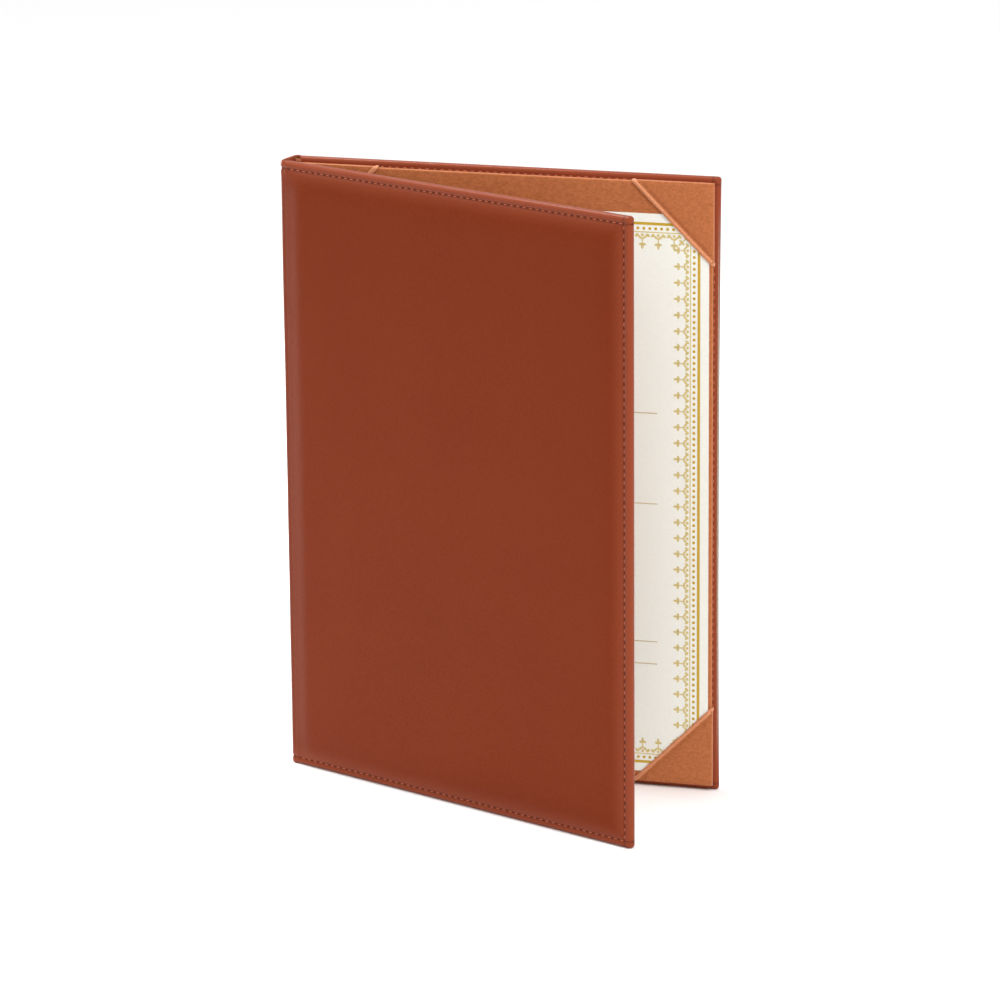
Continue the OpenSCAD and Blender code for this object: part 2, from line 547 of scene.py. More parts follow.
@dataclass(frozen=True)
class LeatherFinish:
    """Smooth reddish brown leather with a fine grain, painted shade in its stitch holes and sewn
    channel, and a painted sheen on its rims.
    """

    name: str = "reddish_brown_leather"
    deep: Triple = (0.146, 0.0178, 0.0016)
    warm: Triple = (0.167, 0.0212, 0.0022)
    # Painted sheen: a lighter colour laid on the rolled rims in place of the highlight they catch.
    edge: Triple = (0.212, 0.041, 0.0165)
    # Painted shade: the dark colour of the needle holes and the sewn channel, where shadow falls.
    hole_shade: Triple = (0.060, 0.006, 0.002)
    roughness: float = 0.33
    grain_scale: float = 1500.0
    coordinates: Coordinates = Coordinates.FLAT

    def make(self, stitches: "StitchLine") -> Material:
        """Build the material.

        Args:
            stitches: The stitch line, for the holes along it.

        Returns:
            The material.
        """
        graph = Graph(self.name)
        point = graph.point(self.coordinates)
        broad = graph.noise(point, 16.0, 3.0)
        mottle = graph.noise(point, 800.0, 3.0)
        leather = graph.blend(graph.mean(broad, mottle, 0.65), self.deep, self.warm, 0.35, 0.65)
        # Painted sheen on the rolled rims by the sewn edges.
        painted_rim_sheen = self.painted_rim_sheen(graph, point, stitches.sizes)
        sheened_leather = graph.add("Mix", data_type="RGBA", i0=painted_rim_sheen, i6=leather, i7=(*self.edge, 1.0))
        # Painted shade in the needle holes and along the sewn channel.
        painted_hole_shade = self.painted_hole_shade(graph, point, stitches)
        colour = graph.add("Mix", data_type="RGBA", i0=painted_hole_shade, i7=(*self.hole_shade, 1.0))
        graph.feed(colour.inputs[6], sheened_leather.outputs[2])
        cells = graph.add(
            "TexVoronoi", Vector=point, Scale=self.grain_scale, feature="SMOOTH_F1"
        ).outputs["Distance"]
        folds = graph.noise(point, 260.0, 5.0)
        return graph.wear(
            Base_Color=colour.outputs[2],
            Normal=graph.bump(folds, 0.25 * MM, 0.22, graph.bump(cells, 0.08 * MM, 0.8)),
            Roughness=graph.span(mottle, self.roughness - 0.05, self.roughness + 0.07),
            Specular_IOR_Level=0.15,
            Specular_Tint=(1.0, 0.68, 0.54, 1.0),
        )

    def painted_rim_sheen(self, graph: Graph, point: Socket, sizes: Sizes) -> Socket:
        """Return a mask for the painted sheen on the rolled rims by the stitches: 1 at the sewn
        edges, fading inwards.
        """
        parts = graph.add("SeparateXYZ", Vector=point).outputs
        above = graph.math("SUBTRACT", sizes.height, parts["Z"])
        beyond = graph.math("SUBTRACT", sizes.reach, parts["X"])
        inside = graph.math("MINIMUM", graph.math("MINIMUM", parts["Z"], above), beyond)
        return graph.span(inside, 1.0, 0.0, 0.5 * MM, 13 * MM, "SMOOTHSTEP")

    def painted_hole_shade(self, graph: Graph, point: Socket, stitches: "StitchLine") -> Socket:
        """Return a painted shade mask: 1 in the needle holes, between one stitch and the next, and
        partly dark along the sewn channel.
        """
        parts = graph.add("SeparateXYZ", Vector=point).outputs
        sizes = stitches.sizes
        half = sizes.height / 2
        end = sizes.reach - sizes.stitch_inset
        off_row = graph.apart(graph.apart(parts["Z"], half), half - sizes.stitch_inset)
        off_column = graph.apart(parts["X"], end)
        run = graph.math("SUBTRACT", end, parts["X"])
        rise = graph.math("SUBTRACT", parts["Z"], sizes.stitch_inset)
        row = self.spots(graph, off_row, run, stitches.pitch)
        column = self.spots(graph, off_column, rise, stitches.rise_pitch)
        spots = graph.math("MAXIMUM", row, column)
        nearest = graph.math("MINIMUM", off_row, off_column)
        # Painted shade along the sewn channel, standing in for its shadow.
        channel_shade = graph.span(nearest, 0.42, 0.0, 0.2 * MM, 0.9 * MM)
        return graph.math("MAXIMUM", spots, channel_shade)

    def spots(self, graph: Graph, off: Socket, run: Socket, pitch: float) -> Socket:
        """Return a row of round spots, one at each whole pitch along a line."""
        turns = graph.math("DIVIDE", run, pitch)
        along = graph.math("MULTIPLY", graph.apart(turns, graph.math("ROUND", turns)), pitch)
        squares = [graph.math("MULTIPLY", part, part) for part in (along, off)]
        away = graph.math("SQRT", graph.math("ADD", *squares))
        return graph.span(away, 0.85, 0.0, 0.30 * MM, 0.80 * MM)


@dataclass(frozen=True)
class ClothFinish:
    """Fine-napped cloth, such as the tan lining."""

    name: str
    dark: Triple
    light: Triple
    roughness: float = 0.78
    nap: float = 0.3
    sheen: float = 0.25

    def make(self) -> Material:
        """Build the material."""
        graph = Graph(self.name)
        point = graph.point(Coordinates.OBJECT)
        drawn = graph.add("Mapping", Vector=point, Scale=(0.68, 0.9, 1.15)).outputs["Vector"]
        fine = graph.noise(drawn, 2600.0, 3.0)
        soft = graph.noise(drawn, 700.0, 4.0)
        under = graph.bump(fine, 0.05 * MM, self.nap)
        return graph.wear(
            Base_Color=graph.blend(graph.mean(fine, soft, 0.4), self.dark, self.light, 0.35, 0.65),
            Normal=graph.bump(soft, 0.10 * MM, self.nap, under),
            Roughness=graph.span(fine, self.roughness - 0.06, self.roughness + 0.06),
            Sheen_Weight=self.sheen,
            Sheen_Roughness=0.4,
            Specular_IOR_Level=0.35,
        )


@dataclass(frozen=True)
class FibreFinish:
    """Stock with a fine fibre, such as thread, greyboard or foam."""

    name: str
    dark: Triple
    light: Triple
    scale: float
    detail: float = 4.0
    depth: float = 0.08 * MM
    strength: float = 0.4
    roughness: float = 0.9
    specular: float = 0.5

    def make(self) -> Material:
        """Build the material."""
        graph = Graph(self.name)
        fibre = graph.noise(graph.point(Coordinates.OBJECT), self.scale, self.detail)
        return graph.wear(
            Base_Color=graph.blend(fibre, self.dark, self.light),
            Normal=graph.bump(fibre, self.depth, self.strength),
            Roughness=self.roughness,
            Specular_IOR_Level=self.specular,
        )


@dataclass(frozen=True)
class PaperFinish:
    """Ivory certificate paper with a faint slanting security tint."""

    name: str = "ivory_paper"
    tint: Triple = (0.750, 0.785, 0.728)
    paper: Triple = (0.800, 0.836, 0.786)
    line_gap: float = 1.1 * MM

    def make(self) -> Material:
        """Build the material."""
        graph = Graph(self.name)
        point = graph.point(Coordinates.OBJECT)
        parts = graph.add("SeparateXYZ", Vector=point).outputs
        slant = graph.math("ADD", parts["X"], graph.math("MULTIPLY", parts["Z"], 0.7))
        sway = graph.math("MULTIPLY", graph.noise(point, 40.0, 1.0), 2.4 * MM)
        turns = graph.math("MULTIPLY", graph.math("ADD", slant, sway), math.tau / self.line_gap)
        wave = graph.math("MULTIPLY", graph.math("SINE", turns), 0.25)
        fibre = graph.noise(point, 900.0, 4.0)
        return graph.wear(
            Base_Color=graph.blend(graph.math("ADD", fibre, wave), self.tint, self.paper),
            Normal=graph.bump(fibre, 0.03 * MM, 0.3),
            Roughness=0.62,
            Specular_IOR_Level=0.3,
        )


@dataclass(frozen=True)
class InkFinish:
    """Printing ink with a slight metallic lustre and uneven coverage."""

    name: str
    thin: Triple
    full: Triple
    metallic: float = 0.15

    def make(self) -> Material:
        """Build the material."""
        graph = Graph(self.name)
        point = graph.point(Coordinates.OBJECT)
        cover = graph.noise(point, 1400.0, 3.0)
        return graph.wear(
            Base_Color=graph.blend(cover, self.thin, self.full),
            Roughness=graph.span(cover, 0.42, 0.58),
            Metallic=self.metallic,
        )


# ---- Covers ----


@dataclass(frozen=True)
class StitchLine:
    """Where the stitches lie: a row along the top and bottom, and a column at the free edge."""

    sizes: Sizes
    pitch: float = 4.0 * MM

    @property
    def rise(self) -> float:
        """Height of the column."""
        return self.sizes.height - 2 * self.sizes.stitch_inset

    @property
    def rise_pitch(self) -> float:
        """Pitch of the column, so that it holds whole stitches."""
        return self.rise / round(self.rise / self.pitch)


@dataclass(frozen=True)
class Relief:
    """How far the padded leather stands out of a flat cover."""

    sizes: Sizes
    stitches: StitchLine
    puff: float = 1.9 * MM
    channel: float = 0.45 * MM
    bead: float = 0.15 * MM
    pucker: float = 0.10 * MM
    arch: float = 1.9 * MM
    ridge: float = 0.12 * MM
    gutter: float = 0.18 * MM
    sway: float = 0.10 * MM

    def edge_distance(self, along: float, up: float) -> float:
        """Distance from the nearest sewn edge."""
        return min(up, self.sizes.height - up, self.sizes.reach - along)

    def fullness(self, along: float, up: float) -> float:
        """How full the padding is, from 0 at the stitches to 1 well inside them."""
        inset = self.sizes.stitch_inset
        full = ease(along, 1.6 * MM, 15 * MM)
        for distance in (up, self.sizes.height - up, self.sizes.reach - along):
            inside = max(0.0, distance - inset)
            full *= 1 - math.exp(-((inside / (6.5 * MM)) ** 1.2))
        return full

    def height(self, along: float, up: float) -> float:
        """Height of the outer face above the flat cover.

        Args:
            along: Distance from the crease.
            up: Height above the table.

        Returns:
            The height, in metres.
        """
        inset = self.sizes.stitch_inset
        edge = self.edge_distance(along, up)
        if along < 0:
            share = (along + self.sizes.spine / 2) / (self.sizes.spine / 2)
            base = self.arch * math.cos(math.pi / 2 * share) ** 2
        else:
            base = self.puff * self.fullness(along, up)
            base += self.ridge * hump(along, 0.0, 1.0 * MM)
            base -= self.gutter * hump(along, 2.6 * MM, 1.3 * MM)
        run = up if self.sizes.reach - along <= edge else along
        ripple = math.cos(math.tau * run / self.stitches.pitch)
        base -= self.channel * hump(edge, inset, 0.85 * MM)
        base += self.bead * hump(edge, 1.9 * MM, 0.9 * MM)
        base += self.pucker * ripple * hump(edge, inset + 1.2 * MM, 1.8 * MM)
        sway = noise.noise(Vector((along, up, 0.0)) * 21)
        sway += 0.5 * noise.noise(Vector((along, up, 0.1)) * 55)
        return base + self.sway * sway * ease(edge, inset, inset + 12 * MM)


@dataclass
class LeatherSkin:
    """Outer leather of one cover with its half of the spine, turned in over the board."""

    cover: Cover
    sizes: Sizes
    relief: Relief
    leather: float = 0.65 * MM
    roll: float = 2.2 * MM
    corner: float = 1.8 * MM
    turn_in: float = 18.0 * MM
    spine_thick: float = 1.9 * MM
    joint_thick: float = 1.4 * MM
    fine: float = 0.75 * MM
    broad: float = 2.0 * MM
    waist: float = 0.9 * MM

    def build(self, material: Material) -> Piece:
        """Make the piece.

        Args:
            material: The leather.

        Returns:
            The piece, in place.
        """
        bm = self.tray()
        self.thin_the_spine(bm)
        self.raise_relief(bm)
        remember_flat(bm)
        fold_up(bm, self.cover, self.sizes)
        skin = finish_piece(f"{self.cover.value}_leather_skin", bm, material)
        thicken(skin, self.leather)
        bend_at_crease(skin, self.cover, self.sizes)
        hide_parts(f"{self.cover.value}_leather", "spine_leather")
        return skin

    def tray(self) -> Mesh:
        """Make the flat cover as an open tray: outer face, rolled edges and turned-in border."""
        sizes = self.sizes
        low = Vector((-sizes.spine / 2, sizes.outer - sizes.thick, 0.0))
        high = Vector((sizes.reach, sizes.outer, sizes.height))
        bm = bmesh.new()
        make_block(bm, low, high)
        self.round_edges(bm, low, high)
        ends = [face for face in bm.faces if lies_at(face, 0, low.x)]
        bmesh.ops.delete(bm, geom=ends, context="FACES")
        self.cut_grid(bm, low, high)
        return bm

    def round_edges(self, bm: Mesh, low: Vector, high: Vector) -> None:
        """Round the corners at the free edge, then roll the long edges."""
        corners = [
            edge
            for edge in bm.edges
            if lies_at(edge, 0, high.x) and lies_at(edge, 2, edge.verts[0].co.z)
        ]
        round_over(bm, corners, self.corner, 5)
        rims = [
            edge
            for edge in bm.edges
            if lies_at(edge, 1, edge.verts[0].co.y) and not lies_at(edge, 0, low.x)
        ]
        round_over(bm, rims, self.roll, 6)

    def cut_grid(self, bm: Mesh, low: Vector, high: Vector) -> None:
        """Cut the tray finely near its edges and creases and more broadly inside."""
        band = 12 * MM
        bend_start, bend_end = -3 * MM, 5 * MM
        turned_end, turned_head = high.x - self.turn_in, high.z - self.turn_in
        columns = steps(low.x, bend_start, 1.2 * MM)[1:]
        columns += steps(bend_start, bend_end, 0.45 * MM)
        columns += steps(bend_end, turned_end, self.broad)
        columns += steps(turned_end, high.x - band, self.broad)
        columns += steps(high.x - band, high.x - self.roll, self.fine)
        cut(bm, 0, columns)
        cut(bm, 2, [self.turn_in, turned_head])
        window = []
        for face in bm.faces:
            along, _, up = face.calc_center_median()
            if lies_at(face, 1, low.y) and along < turned_end and self.turn_in < up < turned_head:
                window.append(face)
        bmesh.ops.delete(bm, geom=window, context="FACES")
        rows = steps(self.roll, band, self.fine)[1:] + [band]
        cut(bm, 2, rows)
        cut(bm, 2, [high.z - row for row in rows])
        split_rows(bm, band, self.turn_in, self.broad)
        split_rows(bm, self.turn_in, turned_head, self.broad)
        split_rows(bm, turned_head, high.z - band, self.broad)

    def thin_the_spine(self, bm: Mesh) -> None:
        """Draw the turned-in leather close behind the outer leather where there is no board."""
        outer = self.sizes.outer
        for vert in bm.verts:
            along = vert.co.x
            thick = self.spine_thick + (self.joint_thick - self.spine_thick) * ease(
                along, -2.2 * MM, -1.0 * MM
            )
            thick += (self.sizes.thick - thick) * ease(along, 2.0 * MM, 4.2 * MM)
            vert.co.y = outer + (vert.co.y - outer) * thick / self.sizes.thick

    def raise_relief(self, bm: Mesh) -> None:
        """Puff the outer face, press the sewn channel and draw in the back cover's waist."""
        sizes = self.sizes
        for vert in bm.verts:
            along, out, up = vert.co
            local = sizes.thick if along > 4 * MM else self.joint_thick
            depth = min(self.roll, local / 2)
            share = ease(out, sizes.outer - depth, sizes.outer)
            vert.co.y += self.relief.height(along, up) * share
            if self.cover is Cover.BACK:
                pull = ease(along, sizes.reach - 12 * MM, sizes.reach)
                vert.co.x -= self.waist * pull * math.sin(math.pi * up / sizes.height) ** 0.6


@dataclass
class CoverPad:
    """Thin foam pad between a cover's board and its leather."""

    cover: Cover
    sizes: Sizes
    relief: Relief
    leather: float = 0.65 * MM
    foot: float = -1.55 * MM
    margin: float = 5.0 * MM

    def build(self, material: Material) -> Piece:
        """Make the crowned pad, which fills the puff of the leather."""
        sizes = self.sizes
        low = Vector((self.margin, self.foot, self.margin))
        high = Vector(
            (sizes.reach - self.margin, sizes.outer - self.leather, sizes.height - self.margin)
        )
        bm = bmesh.new()
        make_block(bm, low, high)
        round_over(bm, bm.edges[:], 0.4 * MM, 2)
        cut(bm, 0, steps(low.x, high.x, 6 * MM)[1:])
        cut(bm, 2, steps(low.z, high.z, 6 * MM)[1:])
        for vert in bm.verts:
            if vert.co.y > high.y - 0.5 * MM:
                vert.co.y += 0.8 * self.relief.height(vert.co.x, vert.co.z) - 0.15 * MM
        fold_up(bm, self.cover, sizes)
        pad = finish_piece(f"{self.cover.value}_foam_pad", bm, material)
        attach(pad, self.cover.value)
        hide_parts(f"{self.cover.value}_padding")
        return pad


@dataclass
class Stitching:
    """Two-ply stitches laid in the sewn channel."""

    sizes: Sizes
    relief: Relief
    line: StitchLine
    length: float = 2.3 * MM
    ply: float = 0.185 * MM
    inner_inset: float = 3.05 * MM
    twist: float = 1.5
    sides: int = 5
    spans: int = 6

    def template(self) -> bpy.types.Mesh:
        """Make one stitch along X, with Z out of the leather and both ends dipping into it."""
        bm = bmesh.new()
        for strand in (0.0, math.pi):
            stations = []
            for i in range(self.spans + 1):
                share = i / self.spans
                angle = strand + self.twist * math.tau * share
                dip = 0.60 * MM * abs(2 * share - 1) ** 2
                turn = Vector((0.0, math.cos(angle), math.sin(angle))) * 0.72 * self.ply
                place = Vector(((share - 0.5) * self.length, 0.0, 0.16 * MM - dip)) + turn
                stations.append(
                    station(place, Vector((1, 0, 0)), Vector((0, 1, 0)), self.ply, self.ply)
                )
            sweep(bm, stations, self.sides)
        return keep_drawing("one_stitch", bm)

    def lay(
        self, bm: Mesh, stitch: bpy.types.Mesh, cover: Cover,
        flat: Vector, run: Vector, inside: bool = False,
    ) -> None:
        """Lay one stitch on a cover's leather.

        Args:
            bm: The mesh that collects the stitches.
            stitch: One stitch.
            cover: The cover whose flat coordinates are used.
            flat: The stitch's middle, on the flat face.
            run: The flat direction that it runs in.
            inside: Whether it lies on the inner face.
        """
        fold = fold_of(cover, self.sizes)
        rise = 0.0 if inside else self.relief.height(flat.x, flat.z)
        raised = flat + Vector((0.0, rise, 0.0))
        forward = fold.direction(raised, run)
        lift = fold.direction(raised, Vector((0.0, -1.0 if inside else 1.0, 0.0)))
        turned = Matrix((forward, lift.cross(forward), lift)).transposed().to_4x4()
        stamp(bm, stitch, Matrix.Translation(fold.place(raised)) @ turned)

    def cover_spots(self, inset: float, level: float) -> list[tuple[Vector, Vector]]:
        """Return the middle and direction of every stitch on one face of a flat cover.

        Args:
            inset: Distance of the row from the sewn edges.
            level: Height of the face in the cover's flat coordinates.

        Returns:
            Every middle, with the flat direction that its stitch runs in.
        """
        sizes = self.sizes
        end = sizes.reach - sizes.stitch_inset
        along, upright = Vector((1, 0, 0)), Vector((0, 0, 1))
        spots = []
        for up in (inset, sizes.height - inset):
            for i in range(int((end - 3.0 * MM) / self.line.pitch)):
                spots.append((Vector((end - (i + 0.5) * self.line.pitch, level, up)), along))
        for i in range(round(self.line.rise / self.line.rise_pitch)):
            up = sizes.stitch_inset + (i + 0.5) * self.line.rise_pitch
            spots.append((Vector((sizes.reach - inset, level, up)), upright))
        return spots

    def build_cover(self, cover: Cover, material: Material) -> Piece:
        """Sew one cover, with the same stitches showing on its inner face."""
        sizes = self.sizes
        stitch = self.template()
        bm = bmesh.new()
        for flat, run in self.cover_spots(sizes.stitch_inset, sizes.outer):
            self.lay(bm, stitch, cover, flat, run)
        for flat, run in self.cover_spots(self.inner_inset, sizes.outer - sizes.thick):
            self.lay(bm, stitch, cover, flat, run, inside=True)
        piece = finish_piece(f"{cover.value}_stitches", bm, material)
        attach(piece, cover.value)
        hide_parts(f"{cover.value}_stitching")
        return piece

    def build_spine(self, material: Material) -> Piece:
        """Sew across the spine's head and tail, half from each cover's side."""
        stitch = self.template()
        bm = bmesh.new()
        sizes = self.sizes
        first = -sizes.spine / 2 + self.line.pitch / 2
        for cover in Cover:
            for up in (sizes.stitch_inset, sizes.height - sizes.stitch_inset):
                self.lay(bm, stitch, cover, Vector((first, sizes.outer, up)), Vector((1, 0, 0)))
        piece = finish_piece("spine_stitches", bm, material)
        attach(piece, "spine")
        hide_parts("spine_stitching")
        return piece


# ---- Linings ----


@dataclass
class PanelLining:
    """Lining cloth wrapped round the card of one inner panel."""

    cover: Cover
    sizes: Sizes
    cloth: float = 0.5 * MM
    edge: float = 0.75 * MM
    step: float = 4.0 * MM

    def build(self, material: Material) -> Piece:
        """Make the open tray of cloth, slightly full towards its middle."""
        sizes = self.sizes
        low = Vector((sizes.panel_start, sizes.panel_face, sizes.panel_inset))
        high = Vector((sizes.panel_end, sizes.panel_back, sizes.height - sizes.panel_inset))
        bm = bmesh.new()
        make_block(bm, low, high)
        round_over(bm, [e for e in bm.edges if not lies_at(e, 1, high.y)], self.edge, 4)
        backs = [face for face in bm.faces if lies_at(face, 1, high.y)]
        bmesh.ops.delete(bm, geom=backs, context="FACES")
        cut(bm, 0, steps(low.x + self.edge, high.x - self.edge, self.step))
        cut(bm, 2, steps(low.z + self.edge, high.z - self.edge, self.step))
        middle = (low + high) / 2
        for vert in bm.verts:
            wobble = noise.noise(Vector((vert.co.x, vert.co.z, 0.3)) * 60)
            side = (vert.co.y - low.y) / (high.y - low.y)
            vert.co.y -= 0.05 * MM * (1 + wobble) * (1 - side)
            inward = Vector((middle.x - vert.co.x, 0, middle.z - vert.co.z))
            vert.co += inward.normalized() * 0.10 * MM * wobble * ease(side, 0.0, 0.6)
        fold_up(bm, self.cover, sizes)
        piece = finish_piece(f"{self.cover.value}_panel_cloth", bm, material)
        thicken(piece, self.cloth)
        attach(piece, self.cover.value)
        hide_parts(f"{self.cover.value}_panel_lining")
        return piece


@dataclass
class JointLining:
    """Lining cloth beside one crease: inside the joint, and up over the board's edge."""

    cover: Cover
    sizes: Sizes
    cloth: float = 0.3 * MM
    margin: float = 1.6 * MM

    def build_joint(self, material: Material) -> Piece:
        """Make the strip that follows the leather round the crease at the bottom of the joint."""
        bm = bmesh.new()
        level = self.sizes.outer - 1.5 * MM
        low = Vector((-1.45 * MM, level - self.cloth, self.margin))
        high = Vector((3.3 * MM, level, self.sizes.height - self.margin))
        make_block(bm, low, high)
        cut(bm, 0, steps(low.x, high.x, 0.45 * MM)[1:])
        cut(bm, 2, steps(low.z, high.z, 20 * MM)[1:])
        fold_up(bm, self.cover, self.sizes)
        piece = finish_piece(f"{self.cover.value}_joint_cloth", bm, material)
        bend_at_crease(piece, self.cover, self.sizes)
        return piece

    def build_edge(self, material: Material) -> Piece:
        """Make the cloth that climbs the board's edge and runs under the inner panel."""
        sizes = self.sizes
        bm = bmesh.new()
        face = sizes.panel_back - self.cloth
        low = Vector((3.0 * MM, face, self.margin))
        high = Vector((sizes.panel_start + 0.1 * MM, -0.6 * MM, sizes.height - self.margin))
        make_block(bm, low, high)
        open_sides = ((1, high.y), (0, high.x), (2, low.z), (2, high.z))
        gone = [
            face
            for face in bm.faces
            if any(lies_at(face, axis, place) for axis, place in open_sides)
        ]
        bmesh.ops.delete(bm, geom=gone, context="FACES")
        round_over(bm, [edge for edge in bm.edges if not edge.is_boundary], 0.5 * MM, 4)
        cut(bm, 2, steps(low.z, high.z, 10 * MM)[1:])
        for vert in bm.verts:
            vert.co.x += 0.06 * MM * noise.noise(vert.co * 90)
        fold_up(bm, self.cover, sizes)
        piece = finish_piece(f"{self.cover.value}_edge_cloth", bm, material)
        thicken(piece, self.cloth)
        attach(piece, self.cover.value)
        return piece


@dataclass
class SpineLining:
    """Strip of lining cloth on the inside of the spine."""

    sizes: Sizes

    def build(self, material: Material) -> Piece:
        """Make the strip in the back cover's flat coordinates, with rolled long edges."""
        sizes = self.sizes
        gap, level, cloth = 1.5 * MM, -1.2 * MM, 0.6 * MM
        low = Vector((gap - sizes.spine, level - cloth, sizes.panel_inset))
        high = Vector((-gap, level, sizes.height - sizes.panel_inset))
        bm = bmesh.new()
        make_block(bm, low, high)
        round_over(bm, bm.edges[:], 0.25 * MM, 3)
        cut(bm, 0, steps(low.x, high.x, 1.5 * MM)[1:])
        cut(bm, 2, steps(low.z, high.z, 8 * MM)[1:])
        for vert in bm.verts:
            vert.co.y += 0.08 * MM * noise.noise(vert.co * 70)
        fold_up(bm, Cover.BACK, sizes)
        piece = finish_piece("spine_cloth", bm, material)
        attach(piece, "spine")
        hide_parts("spine_lining")
        return piece


# ---- Corner pockets ----


@dataclass(frozen=True)
class Corner:
    """One corner of the back cover's inner panel."""

    name: str
    right: bool
    top: bool

    def place(self, point: Vector, sizes: Sizes) -> Vector:
        """Take a point measured inwards from the corner to the cover's flat coordinates."""
        along = sizes.panel_end - point.x if self.right else sizes.panel_start + point.x
        foot, head = sizes.panel_inset, sizes.height - sizes.panel_inset
        up = head - point.z if self.top else foot + point.z
        return Vector((along, point.y, up))

    @property
    def mirrored(self) -> bool:
        """Whether this corner is a mirror image of the bottom left one."""
        return self.right != self.top


CORNERS = [
    Corner("bottom_left", right=False, top=False),
    Corner("bottom_right", right=True, top=False),
    Corner("top_left", right=False, top=True),
    Corner("top_right", right=True, top=True),
]


@dataclass
class CornerPocket:
    """Triangle of lining cloth over a corner, with a folded binding along its slanted edge."""

    corner: Corner
    sizes: Sizes
    cloth: float = 0.45 * MM
    wrap: float = 0.55 * MM
    step: float = 2.5 * MM
    hem_cuts: tuple[float, ...] = (2.2 * MM, 1.8 * MM, 1.4 * MM, 1.0 * MM, 0.6 * MM)

    def levels(self) -> tuple[float, float]:
        """Return the levels of the panel's face and of the sheet's face."""
        return self.sizes.panel_face, self.sizes.panel_face - self.sizes.sheet_thick

    def build_cloth(self, material: Material) -> Piece:
        """Make the triangle, wrapped down over both of the panel's edges."""
        sizes = self.sizes
        panel, sheet = self.levels()
        reach = sizes.pocket_leg - sizes.binding_width * 0.7
        bm = bmesh.new()
        cells = math.ceil(reach / self.step)
        bmesh.ops.create_grid(bm, x_segments=cells, y_segments=cells, size=0.5)
        span = reach + self.wrap
        middle = (reach - self.wrap) / 2
        bmesh.ops.scale(bm, vec=(span, span, 1.0), verts=bm.verts)
        bmesh.ops.translate(bm, vec=(middle, middle, 0), verts=bm.verts)
        bmesh.ops.rotate(bm, matrix=Matrix.Rotation(math.pi / 2, 3, "X"), verts=bm.verts)
        slant = Vector((1, 0, 1)).normalized()
        for back in self.hem_cuts:
            geometry = bm.verts[:] + bm.edges[:] + bm.faces[:]
            hem = Vector((reach, 0, 0)) - slant * back
            bmesh.ops.bisect_plane(bm, geom=geometry, plane_co=hem, plane_no=slant)
        geometry = bm.verts[:] + bm.edges[:] + bm.faces[:]
        bmesh.ops.bisect_plane(
            bm, geom=geometry, plane_co=Vector((reach, 0, 0)), plane_no=slant, clear_outer=True
        )
        legs = [
            edge
            for edge in bm.edges
            if edge.is_boundary and any(lies_at(edge, axis, -self.wrap) for axis in (0, 2))
        ]
        grown = bmesh.ops.extrude_edge_only(bm, edges=legs)["geom"]
        skirt = [g for g in grown if isinstance(g, bmesh.types.BMVert)]
        bmesh.ops.translate(bm, vec=(0, 1, 0), verts=skirt)
        for vert in bm.verts:
            self.raise_cloth(vert, vert.co.y > 0.5, panel, sheet, reach)
        round_over(bm, legs, 0.35 * MM, 3)
        self.settle(bm)
        piece = finish_piece(f"pocket_cloth_{self.corner.name}", bm, material)
        thicken(piece, self.cloth)
        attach(piece, "back")
        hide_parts(f"pocket_{self.corner.name}")
        return piece

    def raise_cloth(
        self, vert: bmesh.types.BMVert, hanging: bool, panel: float, sheet: float, reach: float
    ) -> None:
        """Set how far one point of the cloth stands off the panel.

        Args:
            vert: The point.
            hanging: Whether it is the lower edge of the wrapped part.
            panel: Level of the panel's face.
            sheet: Level of the sheet's face.
            reach: Distance from the corner to the slanted edge along a leg.
        """
        if hanging:
            vert.co.y = self.sizes.panel_back - 0.1 * MM
            return
        inner = max(0.0, vert.co.x) + max(0.0, vert.co.z)
        share = ease(inner, 0.1 * reach, reach)
        level = panel + (sheet - panel - 0.12 * MM) * share - self.cloth - 0.05 * MM
        middle = 4 * max(0.0, vert.co.x) * max(0.0, vert.co.z) / reach**2
        hem = (reach - inner) / math.sqrt(2)
        crease = 0.42 * MM * hump(hem, 1.5 * MM, 0.5 * MM)
        vert.co.y = level - 0.22 * MM * middle + crease

    def build_binding(self, material: Material) -> Piece:
        """Make the folded strip along the slanted edge, with its ends tucked over the panel."""
        sizes = self.sizes
        sheet = self.levels()[1]
        half = 0.8 * sizes.binding_width / 2
        start = sizes.pocket_leg - half * math.sqrt(2)
        top = sheet - 0.45 * MM
        slant = Vector((-1, 0, 1)).normalized()
        across = Vector((1, 0, 1)).normalized()
        tuck = 0.55 * MM
        foot = sizes.panel_back - 0.3 * MM
        wide = Vector((1, 0, 0))
        places = (
            Vector((start + tuck, foot, -tuck)),
            Vector((start + tuck, sheet + 0.5 * MM, -tuck)),
            Vector((start + 0.4 * tuck, top + 0.1 * MM, -0.1 * MM)),
        )
        stations = [
            station(places[0], Vector((0, -1, 0)), wide, half * 0.95, 0.42 * MM),
            station(places[1], Vector((0, -1, 0.1)), wide, half, 0.46 * MM),
            station(places[2], Vector((-0.5, -0.7, 0.5)), across, half * 1.02, 0.5 * MM),
        ]
        count = 26
        for i in range(count + 1):
            share = 0.02 + 0.96 * i / count
            level = top - 0.12 * MM * math.sin(math.pi * share)
            wave = 0.07 * MM * noise.noise(Vector((share * 9, start * 40, 0.5)))
            middle = Vector((start * (1 - share), level, start * share)) + across * wave
            stations.append(station(middle, slant, across, half + 2 * wave, 0.58 * MM))
        stations += [self.far_end(near) for near in reversed(stations[:3])]
        bm = bmesh.new()
        sweep(bm, stations, 12)
        self.settle(bm)
        piece = finish_piece(f"binding_fold_{self.corner.name}", bm, material)
        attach(piece, "back")
        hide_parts(f"binding_{self.corner.name}")
        return piece

